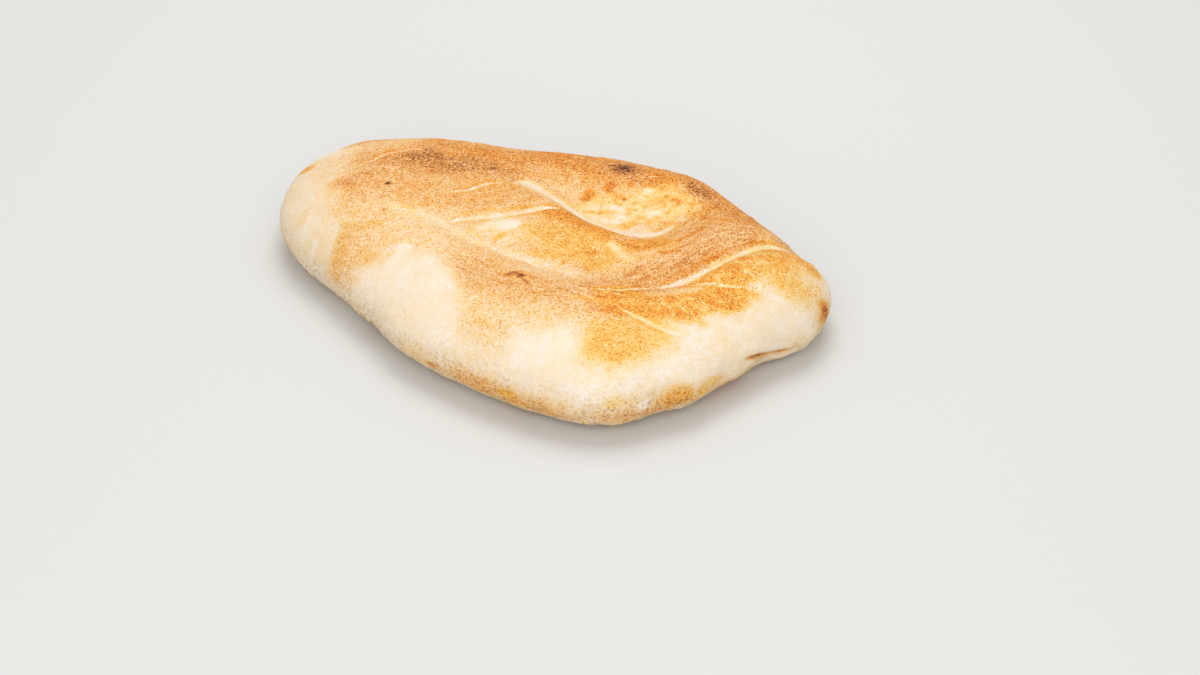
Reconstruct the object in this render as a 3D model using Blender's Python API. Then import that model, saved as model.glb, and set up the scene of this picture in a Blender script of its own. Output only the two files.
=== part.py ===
"""A lepinja: one puffed, hand-stretched flatbread, made as a single solid.

Run it with  blender --background --python part.py  or from Blender's text editor.
Metres, +Z up. The bread lies on its flat base, with the origin under the middle of its box.
+X runs along the long side and +Y from the low front edge to the far rim.
"""

import math

import bmesh
import bpy
import numpy as np

MM = 0.001

# Driving dimensions, in millimetres. Every place below is counted from the middle of the plan.
EQUATOR_HEIGHT = 14.0  # where the side bulges out furthest
SHOULDER_WIDTH = 42.0  # from the bulge in to the top of the rim
UNDERSIDE_WIDTH = 15.0  # from the bulge in to where the flat base starts
TOP_HEIGHT = 33.0  # the plain top, before its swells and hollows

# Mesh density
SEGMENTS = 104
SHOULDER_RINGS = 13
TOP_RINGS = 27
UNDERSIDE_RINGS = 7
BASE_RINGS = 5

# The widest outline in plan, anticlockwise from the right-hand tip
OUTLINE = [
    (118, -24), (113, -4), (101, 13), (88, 34), (72, 57), (44, 75), (8, 85), (-24, 92), (-60, 100),
    (-93, 96), (-113, 77), (-119, 44), (-110, 18), (-91, -8), (-71, -35), (-58, -54), (-34, -74),
    (2, -96), (28, -101), (48, -92), (60, -89), (76, -73), (93, -56), (109, -48),
]
POINTS_PER_SPAN = 24  # steps of the smooth curve between two of these points

# Swells and hollows of the top: middle, half length, half width, turn in degrees, height
SWELLS = {
    "left_dome": ((-64, 36), 52, 42, 25, 6.0),
    "far_rim": ((26, 70), 50, 18, -24, 3.5),
    "far_rim_bump": ((66, 46), 18, 13, -45, 3.2),
    "far_rim_end": ((85, 18), 16, 15, -60, 3.2),
    "right_lobe": ((88, -36), 25, 22, 30, 6.0),
    "near_flank": ((0, -58), 60, 24, -20, 2.5),
    "middle_mound": ((0, -6), 36, 18, -32, 2.0),
    "pocket": ((39, 20), 26, 18, -15, -6.0),
}

# Folds of the top: route, half width on its left and on its right, rise, negative for a groove
FOLD_STEPS = 8  # steps of the smooth curve between two points of a route
FOLD_TAPER = 0.04  # how near to nothing a fold fades at its ends
FOLDS = {
    "near_crest": (
        ((-52, -2), (-40, -14), (-30, -26), (-18, -35), (-6, -43), (4, -49), (16, -54), (32, -54)),
        7, 16, 3.0,
    ),
    "cross_ridge": (((14, -51), (32, -41), (44, -31), (54, -21), (65, -10), (76, -1), (90, 4)), 13, 11, 5.5),
    "mound_edge": (
        ((-46, 4), (-37, -4), (-29, -11), (-16, -21), (-8, -26), (3, -33), (13, -38), (26, -41)), 7, 5, -4.0,
    ),
    "far_valley": (
        ((-14, 45), (-3, 37), (6, 28), (14, 18), (22, 9), (31, 2), (40, -1), (48, 2), (55, 10)), 13, 5, -6.0,
    ),
    "mound_shoulder": (((-4, 24), (5, 16), (16, 6), (29, -5), (39, -9), (48, -8)), 4, 12, 2.5),
    "right_crack": (
        ((46, -42), (53, -39), (61, -33), (67, -27), (74, -20), (80, -16), (87, -12), (100, -9)), 5, 5, -5.0,
    ),
    "lower_crack": (((55, -41), (64, -42), (71, -43), (79, -44)), 4, 4, -1.2),
    "front_crack": (((13, -59), (22, -60), (30, -63), (40, -67), (50, -73), (60, -77)), 6, 5, -1.8),
    "upper_line": (((-41, 5), (-30, 7), (-20, 9), (-10, 13), (0, 14)), 5, 4, -1.5),
}

# A pinch where the dough was folded under, low on the side: bearings in degrees, then millimetres
TUCK_BEARINGS = (-39, -24)
TUCK_HEIGHT = 8.0
TUCK_HALF_WIDTH = 2.2
TUCK_DEPTH = 3.5


def smooth_span(before, start, end, after, steps):
    """The smooth stretch between two points, steered by the points before and after them."""
    t = np.linspace(0, 1, steps, endpoint=False)[:, None]
    square = (2 * before - 5 * start + 4 * end - after) * t**2
    cube = (3 * start - before - 3 * end + after) * t**3
    return 0.5 * (2 * start + (end - before) * t + square + cube)


def closed_curve(points, steps):
    """A smooth closed curve through the points, as an array of places."""
    knots = np.array(points, float)
    rows = zip(np.roll(knots, 1, axis=0), knots, np.roll(knots, -1, axis=0), np.roll(knots, -2, axis=0))
    return np.vstack([smooth_span(*row, steps) for row in rows])


def open_curve(points, steps):
    """A smooth curve from the first point to the last."""
    knots = np.array(points, float)
    knots = np.vstack([2 * knots[0] - knots[1], knots, 2 * knots[-1] - knots[-2]])
    rows = zip(knots, knots[1:], knots[2:], knots[3:])
    return np.vstack([*(smooth_span(*row, steps) for row in rows), knots[-2]])


def swell(plan, middle, half_length, half_width, turn, height):
    """A soft round rise, or with a negative height a hollow."""
    angle = math.radians(turn)
    away = plan - np.array(middle, float)
    along = (away[:, 0] * math.cos(angle) + away[:, 1] * math.sin(angle)) / half_length
    across = (away[:, 1] * math.cos(angle) - away[:, 0] * math.sin(angle)) / half_width
    return height * np.exp(-(along**2) - across**2)


def fold(plan, route, left_width, right_width, rise):
    """A ridge along a route, or with a negative rise a groove, which fades out at both of its ends."""
    line = open_curve(route, FOLD_STEPS)
    share = np.linspace(0, 1, len(line))
    gap = np.linalg.norm(plan[:, None, :] - line[None, :, :], axis=2)
    nearest = gap.argmin(axis=1)
    ahead = np.gradient(line, axis=0)[nearest]
    away = plan - line[nearest]
    on_left = ahead[:, 0] * away[:, 1] - ahead[:, 1] * away[:, 0] > 0
    half_width = np.where(on_left, left_width, right_width)
    fade = np.sqrt(np.sin(math.pi * (FOLD_TAPER + (1 - 2 * FOLD_TAPER) * share[nearest])))
    return rise * fade * np.exp(-((gap.min(axis=1) / half_width) ** 2))


def top_height(plan):
    """Height of the upper crust over the plan, before the rim rounds it off."""
    height = np.full(len(plan), TOP_HEIGHT)
    for values in SWELLS.values():
        height += swell(plan, *values)
    for values in FOLDS.values():
        height += fold(plan, *values)
    return height


def tuck_depth(angle, height):
    """How far the side is pinched in at a bearing and a height."""
    start, end = np.radians(TUCK_BEARINGS)
    along = np.clip((angle - start) / (end - start), 0, 1)
    return TUCK_DEPTH * np.sin(math.pi * along) * np.exp(-(((height - TUCK_HEIGHT) / TUCK_HALF_WIDTH) ** 2))


def rounded(share):
    """A quarter round, from 0 at the edge to 1 at its full height."""
    return np.sqrt(1 - (1 - np.clip(share, 0, 1)) ** 2)


def plan_places(angle, radius):
    """Bearings and distances from the middle, as places in plan."""
    return np.stack([radius * np.cos(angle), radius * np.sin(angle)], axis=1)


def ring_insets(rings, width, inner_rings):
    """How far in each ring lies: along a quarter round in millimetres, then as shares of the rest."""
    turns = np.linspace(0, math.pi / 2, rings + 1)
    shoulder = [(width * (1 - math.cos(turn)), 0.0) for turn in turns]
    inner = [(width, share) for share in np.linspace(0, 1, inner_rings + 1)[1:]]
    return shoulder + inner


def make_bread():
    """Starts from a sphere and moves each of its rings to its place on the bread."""
    outline = closed_curve(OUTLINE, POINTS_PER_SPAN)
    bearing = np.arctan2(outline[:, 1], outline[:, 0])
    order = np.argsort(bearing)
    reach = np.hypot(outline[:, 0], outline[:, 1])[order]
    bearing = bearing[order]

    upper = ring_insets(SHOULDER_RINGS, SHOULDER_WIDTH, TOP_RINGS)
    lower = ring_insets(UNDERSIDE_RINGS, UNDERSIDE_WIDTH, BASE_RINGS)
    rings = list(reversed(lower[1:])) + upper
    equator = len(lower) - 1

    bm = bmesh.new()
    bmesh.ops.create_uvsphere(bm, u_segments=SEGMENTS, v_segments=len(rings) - 1, radius=1)
    ball = np.array([v.co for v in bm.verts])
    latitude = np.arcsin(np.clip(ball[:, 2], -1, 1))
    ring = np.rint((latitude / math.pi + 0.5) * (len(rings) - 1)).astype(int)
    angle = np.arctan2(ball[:, 1], ball[:, 0])

    full = np.interp(angle, bearing, reach, period=2 * math.pi)
    round_width = np.array([rings[k][0] for k in ring])
    share = np.array([rings[k][1] for k in ring])
    inset = round_width + (full - round_width) * share
    plan = plan_places(angle, full - inset)

    on_top = ring >= equator
    rise = (top_height(plan) - EQUATOR_HEIGHT) * rounded(inset / SHOULDER_WIDTH)
    fall = -EQUATOR_HEIGHT * rounded(inset / UNDERSIDE_WIDTH)
    height = EQUATOR_HEIGHT + np.where(on_top, rise, fall)
    plan = plan_places(angle, full - inset - tuck_depth(angle, height))

    places = np.column_stack([plan, height]) * MM
    low, high = places.min(axis=0), places.max(axis=0)
    places -= [(low[0] + high[0]) / 2, (low[1] + high[1]) / 2, low[2]]
    for vertex, place in zip(bm.verts, places):
        vertex.co = place
    mesh = bpy.data.meshes.new("lepinja")
    bm.to_mesh(mesh)
    bm.free()
    mesh.shade_smooth()
    return mesh


def crust_material():
    """Pale baked dough, browned on top."""
    material = bpy.data.materials.new("crust")
    material.use_nodes = True
    shader = material.node_tree.nodes["Principled BSDF"]
    shader.inputs["Base Color"].default_value = (0.80, 0.52, 0.25, 1.0)
    shader.inputs["Roughness"].default_value = 0.75
    shader.inputs["Metallic"].default_value = 0.0
    return material


def main():
    for old in list(bpy.data.objects):
        bpy.data.objects.remove(old)
    collection = bpy.data.collections.new("lepinja")
    bpy.context.scene.collection.children.link(collection)
    bread = bpy.data.objects.new("lepinja", make_bread())
    bread.data.materials.append(crust_material())
    collection.objects.link(bread)
    low = np.array([v.co for v in bread.data.vertices]).min(axis=0)
    high = np.array([v.co for v in bread.data.vertices]).max(axis=0)
    print("bread size in mm:", np.round((high - low) / MM, 1))


main()
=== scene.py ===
# %% [markdown]
# # A lepinja, from plain solid to baked crust
# A lepinja is a puffed flatbread. The dough is pulled long by hand, goes on a very hot oven floor and
# swells within minutes into one uneven cushion. The top browns where it stands highest, the sides
# stay the colour of dough, and where the crust tears open late, the fresh dough shows as a pale line.
# The solid already has the loaf's form: its rim, its swells and its folds. This lesson gives it a skin
# that is fine enough for cracks and blisters, paints the browning on it, and builds one finish.

# %% Load the solid loaf
import math

import bmesh
import bpy
import numpy as np
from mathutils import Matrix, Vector, noise


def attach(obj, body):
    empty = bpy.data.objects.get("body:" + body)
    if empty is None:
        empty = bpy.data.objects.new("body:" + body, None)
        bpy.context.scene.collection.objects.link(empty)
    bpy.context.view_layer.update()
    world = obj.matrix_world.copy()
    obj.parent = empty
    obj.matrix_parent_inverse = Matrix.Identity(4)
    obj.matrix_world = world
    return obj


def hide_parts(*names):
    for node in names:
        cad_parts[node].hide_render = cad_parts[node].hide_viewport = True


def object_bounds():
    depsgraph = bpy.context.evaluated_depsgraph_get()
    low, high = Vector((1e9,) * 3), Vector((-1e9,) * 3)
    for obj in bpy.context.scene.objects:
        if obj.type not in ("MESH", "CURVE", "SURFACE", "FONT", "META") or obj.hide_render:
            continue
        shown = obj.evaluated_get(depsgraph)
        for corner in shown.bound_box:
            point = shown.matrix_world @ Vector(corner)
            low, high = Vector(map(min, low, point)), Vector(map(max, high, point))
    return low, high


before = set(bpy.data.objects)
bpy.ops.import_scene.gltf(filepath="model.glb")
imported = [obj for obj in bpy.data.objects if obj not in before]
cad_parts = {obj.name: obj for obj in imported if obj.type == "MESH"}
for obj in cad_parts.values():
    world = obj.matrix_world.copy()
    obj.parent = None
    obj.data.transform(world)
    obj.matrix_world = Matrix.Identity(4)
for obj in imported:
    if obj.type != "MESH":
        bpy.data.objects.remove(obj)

MM = 0.001
CAD_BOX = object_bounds()
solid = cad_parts["lepinja"]
print("the solid loaf measures, in mm:", [round(v / MM, 1) for v in CAD_BOX[1] - CAD_BOX[0]])

# %% [markdown]
# ## The camera
# The picture was taken from the near long side, looking down by about 34 degrees. A long lens keeps the
# loaf's outline calm. It is worked out from the focal length in pixels, so that the frame is the same
# whatever size it is rendered at.

# %% Camera
IMAGE_WIDTH = 1200
FOCAL_PIXELS = 1926
SENSOR_WIDTH = 36.0
LOOK_DOWN = math.radians(34.2)
CAMERA_PLACE = (0.0230, -0.6905, 0.4486)

camera = bpy.data.objects.new("camera", bpy.data.cameras.new("camera"))
camera.data.sensor_width = SENSOR_WIDTH
camera.data.lens = SENSOR_WIDTH * FOCAL_PIXELS / IMAGE_WIDTH
camera.location = CAMERA_PLACE
camera.rotation_euler = (math.pi / 2 - LOOK_DOWN, 0, 0)
bpy.context.scene.collection.objects.link(camera)
bpy.context.scene.camera = camera
print("lens in mm:", round(camera.data.lens, 2))

# %% [markdown]
# ## The floor
# The loaf lies on a plain pale floor, which belongs to the picture and not to the bread. It is a hair
# below the loaf's flat base, so that the two don't touch.

# %% Floor
FLOOR_SIDE = 3.0
FLOOR_GAP = 0.2 * MM
FLOOR_COLOUR = (0.62, 0.62, 0.61, 1.0)
FLOOR_ROUGHNESS = 0.8

bpy.ops.mesh.primitive_plane_add(size=FLOOR_SIDE, location=(0, 0, -FLOOR_GAP))
floor = bpy.context.object
floor.name = "floor"
floor_finish = bpy.data.materials.new("pale_floor")
floor_finish.use_nodes = True
floor_shader = floor_finish.node_tree.nodes["Principled BSDF"]
floor_shader.inputs["Base Color"].default_value = FLOOR_COLOUR
floor_shader.inputs["Roughness"].default_value = FLOOR_ROUGHNESS
floor.data.materials.append(floor_finish)
print("the floor is", FLOOR_SIDE, "m wide")

# %% [markdown]
# ## The light
# The light is soft, and so much of it comes back from the sides that no shade is deep. One square lamp
# hangs behind the loaf, so that the folds get a bright and a darker side. A wider one of about the same
# power stands behind the camera, and a pale world fills in the rest. A picture of a room could light the loaf
# too, but these three are easier to steer.

# %% Lamps and world
# Each: place, side of its square, watts
LAMPS = {
    "lamp_above": ((0.05, 0.5, 1.2), 0.8, 8.7),
    "lamp_front": ((-0.05, -1.1, 0.65), 1.2, 8.6),
}
WORLD_COLOUR = (1.0, 0.99, 0.97, 1.0)
WORLD_STRENGTH = 0.67


def soft_lamp(name, place, side, watts):
    """A square area lamp that faces the loaf."""
    lamp = bpy.data.lights.new(name, "AREA")
    lamp.size = side
    lamp.energy = watts
    holder = bpy.data.objects.new(name, lamp)
    holder.location = place
    holder.rotation_euler = (-Vector(place)).to_track_quat("-Z", "Y").to_euler()
    bpy.context.scene.collection.objects.link(holder)


for name, values in LAMPS.items():
    soft_lamp(name, *values)

world = bpy.data.worlds.new("pale_room")
world.use_nodes = True
background = world.node_tree.nodes["Background"]
background.inputs["Color"].default_value = WORLD_COLOUR
background.inputs["Strength"].default_value = WORLD_STRENGTH
bpy.context.scene.world = world
bpy.context.scene.view_settings.view_transform = "Standard"
print("lamps:", *LAMPS)

# %% [markdown]
# ## A skin that is fine enough
# The solid has flat facets several millimetres across, in rings around its middle. The finest crack is two
# millimetres wide, so the skin needs points less than a millimetre apart, and evenly spread.
# Subdividing rounds the facets off first. A voxel remesh then lays an even grid over the whole form, and a
# few smoothing steps take out the grid's own ripple.

# %% A fine, even skin
WELD = 0.001 * MM
GRID = 0.95 * MM
ROUNDINGS = 2
SETTLE_STEPS = 8
SETTLE_SHARE = 0.5  # how far a step moves a point towards the mean of its neighbours


def welded_copy(source, name):
    """A new object with the source's form, in quads where its triangles can be joined."""
    bm = bmesh.new()
    bm.from_mesh(source.data)
    bmesh.ops.remove_doubles(bm, verts=bm.verts, dist=WELD)
    bmesh.ops.join_triangles(bm, faces=bm.faces, angle_face_threshold=math.pi, angle_shape_threshold=math.pi)
    mesh = bpy.data.meshes.new(name)
    bm.to_mesh(mesh)
    bm.free()
    piece = bpy.data.objects.new(name, mesh)
    bpy.context.scene.collection.objects.link(piece)
    return piece


def refine(piece):
    """Gives the piece small even quads in place of its facets."""
    rounding = piece.modifiers.new("rounding", "SUBSURF")
    rounding.levels = ROUNDINGS
    rounding.render_levels = ROUNDINGS
    grid = piece.modifiers.new("grid", "REMESH")
    grid.mode = "VOXEL"
    grid.voxel_size = GRID
    settle = piece.modifiers.new("settle", "SMOOTH")
    settle.factor = SETTLE_SHARE
    settle.iterations = SETTLE_STEPS
    fine = bpy.data.meshes.new_from_object(piece.evaluated_get(bpy.context.evaluated_depsgraph_get()))
    piece.modifiers.clear()
    piece.data = fine
    fine.name = piece.name


crust = welded_copy(solid, "crust")
refine(crust)
print("points of the skin:", len(crust.data.vertices), "faces:", len(crust.data.polygons))

# %% [markdown]
# ## The skin as arrays
# From here on the skin is shaped and painted with arrays: one row for each point, in millimetres. `at` is
# where the points are, `out` the way that they face. `inset` says how far in from the loaf's widest outline a
# point lies, seen from above, which is what the oven's heat follows: the edge stays pale, the middle browns.
# Sculpting would do as well, but arrays give the same loaf at every run.

# %% Arrays of the skin
UPPER_SIDE = (-0.15, 0.25)  # how far up a point faces where the top begins, and where it is full
SECTORS = 240  # slices of the plan in which the outline is measured


def read_vectors(items, field):
    """One row of three numbers for each item."""
    values = np.empty(len(items) * 3)
    items.foreach_get(field, values)
    return values.reshape(-1, 3)


def soft_step(value, low, high):
    """0 below low, 1 above high, and smooth between."""
    share = np.clip((value - low) / (high - low), 0, 1)
    return share * share * (3 - 2 * share)


def show(words, *numbers):
    """Prints what was measured."""
    print(words, *(round(float(number), 2) for number in numbers))


def outline_reach(bearing, radius):
    """The widest radius at each bearing."""
    sector = ((bearing / (2 * math.pi)) % 1 * SECTORS).astype(int) % SECTORS
    widest = np.zeros(SECTORS)
    np.maximum.at(widest, sector, radius)
    middles = (np.arange(SECTORS) + 0.5) * 2 * math.pi / SECTORS
    return np.interp(bearing, middles, widest, period=2 * math.pi)


at = read_vectors(crust.data.vertices, "co") / MM
out = read_vectors(crust.data.vertex_normals, "vector")
plan = at[:, :2]
height = at[:, 2]
bearing = np.arctan2(plan[:, 1], plan[:, 0])
radius = np.hypot(plan[:, 0], plan[:, 1])
inset = outline_reach(bearing, radius) - radius
top = soft_step(out[:, 2], *UPPER_SIDE)
show("share of the points on the upper side:", top.mean())

# %% [markdown]
# ## Stirring
# No two loaves tear or brown alike, so the marks on this one are placed one by one. `wander` is a slightly
# stirred copy of the plan. A mark that is measured on it gets a wavering edge, as dough has.

# %% A stirred plan
COARSE_LUMPS = 13.0
COARSE_PUSH = 4.5
FINE_LUMPS = 4.5
FINE_PUSH = 2.2
SEED_SHIFT = (7.31, 3.17, 5.53)  # how far apart two seeds read the noise


def lumps(size, seed, where=at):
    """Smooth noise from -1 to 1 at every point, with lumps `size` millimetres across."""
    shift = Vector([step * seed for step in SEED_SHIFT])
    return np.array([noise.noise(Vector(p) + shift) for p in where / size])


def stirring(size, seeds):
    """Two noises side by side, as a push in plan."""
    return np.column_stack([lumps(size, seed) for seed in seeds])


fine_stir = stirring(FINE_LUMPS, (3, 4))
wander = plan + COARSE_PUSH * stirring(COARSE_LUMPS, (1, 2)) + FINE_PUSH * fine_stir
show("stirred by up to, in mm:", np.abs(wander - plan).max())

# %% [markdown]
# ## Routes and ovals
# The marks have two forms. A crack or a streak is a smooth curve through a few points, and a patch is a
# turned oval. For each, one helper says how far every point of the skin is from it.

# %% Distances to routes and ovals
ROUTE_STEPS = 30  # steps of the smooth curve between two points of a route
FAR = 1e3  # mm, too far to matter


def smooth_route(points, steps=ROUTE_STEPS):
    """A smooth curve from the first point to the last."""
    knots = np.array(points, float)
    knots = np.vstack([2 * knots[0] - knots[1], knots, 2 * knots[-1] - knots[-2]])
    t = np.linspace(0, 1, steps, endpoint=False)[:, None]
    spans = []
    for before, start, end, after in zip(knots, knots[1:], knots[2:], knots[3:]):
        square = (2 * before - 5 * start + 4 * end - after) * t**2
        cube = (3 * start - before - 3 * end + after) * t**3
        spans.append(0.5 * (2 * start + (end - before) * t + square + cube))
    return np.vstack([*spans, knots[-2]])


def gap_to(points, where, margin=12.0):
    """Distance to a route in plan, minus on its right side, and how far along the nearest place is."""
    line = smooth_route(points)
    low, high = line.min(axis=0) - margin, line.max(axis=0) + margin
    near = np.flatnonzero(((where > low) & (where < high)).all(axis=1) & (top > 0))
    gap = np.full(len(where), FAR)
    along = np.zeros(len(where))
    away = np.linalg.norm(where[near, None, :] - line[None, :, :], axis=2)
    nearest = away.argmin(axis=1)
    ahead = np.gradient(line, axis=0)[nearest]
    aside = where[near] - line[nearest]
    left = np.where(ahead[:, 0] * aside[:, 1] - ahead[:, 1] * aside[:, 0] > 0, 1, -1)
    gap[near] = left * away.min(axis=1)
    along[near] = nearest / (len(line) - 1)
    return gap, along


def oval(middle, half_length, half_width, turn, where):
    """Distance from the middle of a turned oval, as a share of its own size."""
    angle = math.radians(turn)
    away = where - np.array(middle, float)
    along = away[:, 0] * math.cos(angle) + away[:, 1] * math.sin(angle)
    across = away[:, 1] * math.cos(angle) - away[:, 0] * math.sin(angle)
    return np.hypot(along / half_length, across / half_width)


print("steps between two points of a route:", ROUTE_STEPS)

# %% [markdown]
# ## Cracks
# As the loaf swells, its first skin stretches and splits. The splits are shallow, two to five millimetres
# wide, and run along the folds. Each one is a route, a half width and a depth. A displacement texture
# could cut them, but moving the points keeps them in the mesh, and the same distances later tell the finish
# where fresh dough shows.

# %% Routes of the cracks
# Each: route in mm, half width, depth, and how much fresh dough it shows
CRACKS = {
    "dome_arc": (((-82, 52), (-77, 54), (-72, 59), (-67, 62), (-61, 64), (-54, 64)), 1.5, 0.3, 0.35),
    "short_line": (((-41, 26), (-33, 29), (-27, 34), (-18, 38)), 1.3, 0.3, 0.55),
    "upper_line": (((-41, 5), (-32, 9), (-23, 10), (-16, 12), (-9, 14), (-3, 16), (6, 17)), 1.9, 0.6, 0.9),
    "valley": (
        ((-12, 43), (-5, 38), (1, 32), (9, 25), (17, 18), (27, 13), (37, 9), (47, 9), (54, 14)),
        2.4, 0.4, 0.8,
    ),
    "crest_strand": (((-31, -1), (-27, -8), (-21, -16)), 0.9, 0.2, 0.5),
    "right_crack": (
        ((47, -44), (54, -39), (62, -33), (69, -26), (77, -19), (84, -14), (91, -10), (98, -7), (105, -4)),
        2.2, 0.5, 1.0,
    ),
    "lower_branch": (((60, -40), (66, -41), (72, -43), (80, -44)), 1.1, 0.5, 0.8),
    "middle_line": (((14, -52), (24, -51), (35, -49), (50, -42)), 0.9, 0.4, 0.5),
    "front_crack": (((28, -58), (37, -64), (44, -68), (52, -71), (63, -72)), 1.3, 0.6, 0.75),
    "flank_line": (((-52, -44), (-42, -46), (-31, -47)), 0.9, 0.2, 0.2),
    "far_line": (((40, 47), (48, 48), (56, 46)), 1.0, 0.3, 0.3),
    "left_line": (((-66, 12), (-60, 12), (-54, 9)), 1.0, 0.3, 0.45),
    "pocket_rim": (((43, 43), (50, 45), (57, 43), (64, 34), (62, 22), (56, 14)), 0.9, 0.2, 0.25),
}
print("cracks:", len(CRACKS))

# %% [markdown]
# A crack is widest in its middle and closes towards its ends. Its distances are counted in half widths of the
# nearest place, so that less than 1 means inside the crack wherever it runs.

# %% Carve the cracks
CRACK_ENDS = 0.03  # keeps a crack from closing fully at its ends
CRACK_STIR = 0.4
HIDDEN = 0.9  # half widths that are added where a crack shows no fresh dough
NO_CRACK = 9.0  # half widths, where there is none


def opening(along, ends):
    """How far a split is open, 0 to 1: nearly shut at its ends, wide open in the middle."""
    return np.sqrt(np.sin(math.pi * (ends + (1 - 2 * ends) * along)))


cracking = np.full(len(at), NO_CRACK)
carved = np.zeros(len(at))
for points, half_width, depth, shown in CRACKS.values():
    gap, along = gap_to(points, plan + CRACK_STIR * fine_stir)
    profile = abs(gap) / (half_width * opening(along, CRACK_ENDS))
    cracking = np.minimum(cracking, profile + HIDDEN * (1 - shown))
    carved = np.minimum(carved, -depth * np.exp(-(profile**2)))
print("points within a crack:", int((cracking < 1).sum()))

# %% [markdown]
# ## The fold at the side
# Where the baker tucked the dough under, a slit runs low along the side, with a lip above and a thin flap
# below. A Boolean could cut it, but would tear up the even grid, so it is carved like a crack. It isn't seen
# in plan, so its route has heights too. The lip and the flap are two soft rises beside the groove.

# %% The slit and its lip
SLIT = ((80, -69, 16), (85, -64, 13.5), (90, -57, 10), (95, -52, 8.5), (100, -49, 8))
SLIT_STEPS = 5
SLIT_HALF_WIDTH = 1.1
SLIT_NARROWEST = 0.4  # of the half width, at its ends
SLIT_ENDS = 0.02
SLIT_DEPTH = 2.4
LIP_RISE = 0.9
LIP_GAP = 3.2  # from the groove's middle to the top of the lip
LIP_WIDTH = 1.8
FLAP_SHARE = 0.7  # of the lip's rise


def beside_line(points):
    """Distance to a route in space, the height above it, and how far along it the nearest place is."""
    line = smooth_route(points, SLIT_STEPS)
    away = np.linalg.norm(at[:, None, :] - line[None, :, :], axis=2)
    nearest = away.argmin(axis=1)
    return away.min(axis=1), height - line[nearest, 2], nearest / (len(line) - 1)


slit_gap, above_slit, slit_along = beside_line(SLIT)
slit_opening = opening(slit_along, SLIT_ENDS)
slit_width = SLIT_HALF_WIDTH * (SLIT_NARROWEST + (1 - SLIT_NARROWEST) * slit_opening)
slit_profile = slit_gap / slit_width
groove = SLIT_DEPTH * np.exp(-(slit_profile**2))
lip = LIP_RISE * np.exp(-(((slit_gap - LIP_GAP) / LIP_WIDTH) ** 2))
folded = slit_opening * (lip * np.where(above_slit > 0, 1.0, FLAP_SHARE) - groove)
show("the slit is cut to, in mm:", folded.min())

# %% [markdown]
# ## Dents
# The outline isn't a clean curve: it is pinched in a few places, and notched twice where the rim bends.
# A sculpting brush could press these in. As a place, a radius and a depth, each is easy to shift.

# %% Dents
# Each: place, radius, depth
DENTS = {
    "right_notch": ((105, -2, 24), 9, 1.8),
    "far_notch": ((84, 18, 29), 7, 1.4),
    "front_pinch": ((68, -83, 9), 15, 1.6),
    "right_pinch": ((115, -40, 13), 12, 1.0),
    "near_pinch": ((90, -60, 8), 8, 0.8),
}


def from_middle(middle, radius):
    """Distance of every point from a place in space, as a share of a radius."""
    return np.linalg.norm(at - np.array(middle, float), axis=1) / radius


dented = np.zeros(len(at))
for middle, dent_radius, depth in DENTS.values():
    dented -= depth * np.exp(-(from_middle(middle, dent_radius) ** 2))
show("deepest dent in mm:", dented.min())

# %% [markdown]
# ## Folds that lie flatter
# The solid shows its folds a little more boldly than the real loaf. Here the valley and the mound's edge
# are filled and two crests lowered, each by a soft band along its own route.

# %% Ease the folds
# Each: route, half width, rise
EASED = {
    "valley": (((-14, 45), (-3, 37), (6, 28), (14, 18), (22, 9), (31, 2), (40, -1), (48, 2)), 6, 2.0),
    "mound_edge": (
        ((-46, 4), (-37, -4), (-29, -11), (-16, -21), (-8, -26), (3, -33), (13, -38), (24, -41)), 7, 3.5,
    ),
    "near_crest": (((-52, -2), (-40, -14), (-30, -26), (-18, -35), (-6, -43), (4, -49), (16, -54)), 10, -1.8),
    "cross_ridge": (((14, -51), (32, -41), (44, -31), (54, -21), (65, -10), (76, -1), (90, 4)), 11, -1.4),
}
eased = np.zeros(len(at))
for points, half_width, rise in EASED.values():
    across, along = gap_to(points, plan, 2 * half_width)
    eased += rise * opening(along, 0) * np.exp(-((across / half_width) ** 2))
show("eased from and to, in mm:", eased.min(), eased.max())

# %% [markdown]
# ## Wrinkles
# On the crests the skin was pushed together and lies in fine folds along the crest. They are too many for
# routes of their own, so they are drawn-out noise, read from a place that changes slowly along the band and
# fast across it.

# %% Wrinkle the crests
# Bands where the skin was pushed together: route, half width
BANDS = {
    "cross_ridge": (((16, -52), (38, -42), (54, -29), (68, -15), (82, -4), (98, 0)), 10),
    "near_crest": (((-42, -14), (-28, -32), (-12, -43), (6, -51), (24, -57), (42, -58)), 9),
    "pocket_side": (((52, -2), (62, 8), (68, 20), (70, 32)), 8),
}
BAND_STIR = 0.6
BAND_CORE = 0.4  # of the half width, wrinkled in full
BAND_ENDS = 2.2  # how steeply a band fades in and out
WRINKLE_LENGTH = 7.0
WRINKLE_WIDTH = 1.3
WRINKLE_RISE = 0.30

band_cover = np.zeros(len(at))
band_along = np.zeros(len(at))
band_across = np.zeros(len(at))
for points, half_width in BANDS.values():
    across, along = gap_to(points, plan + BAND_STIR * fine_stir, 2 * half_width)
    ends = np.clip(np.sin(math.pi * along) * BAND_ENDS, 0, 1)
    cover = ends * (1 - soft_step(abs(across) / half_width, BAND_CORE, 1.0))
    length = np.linalg.norm(np.diff(smooth_route(points), axis=0), axis=1).sum()
    stronger = cover > band_cover
    band_cover[stronger] = cover[stronger]
    band_along[stronger] = along[stronger] * length
    band_across[stronger] = across[stronger]
band_place = np.column_stack([band_along / WRINKLE_LENGTH, band_across / WRINKLE_WIDTH, band_across * 0])
wrinkles = WRINKLE_RISE * band_cover * lumps(size=1.7, seed=9, where=band_place)
show("highest wrinkle in mm:", wrinkles.max())

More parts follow.
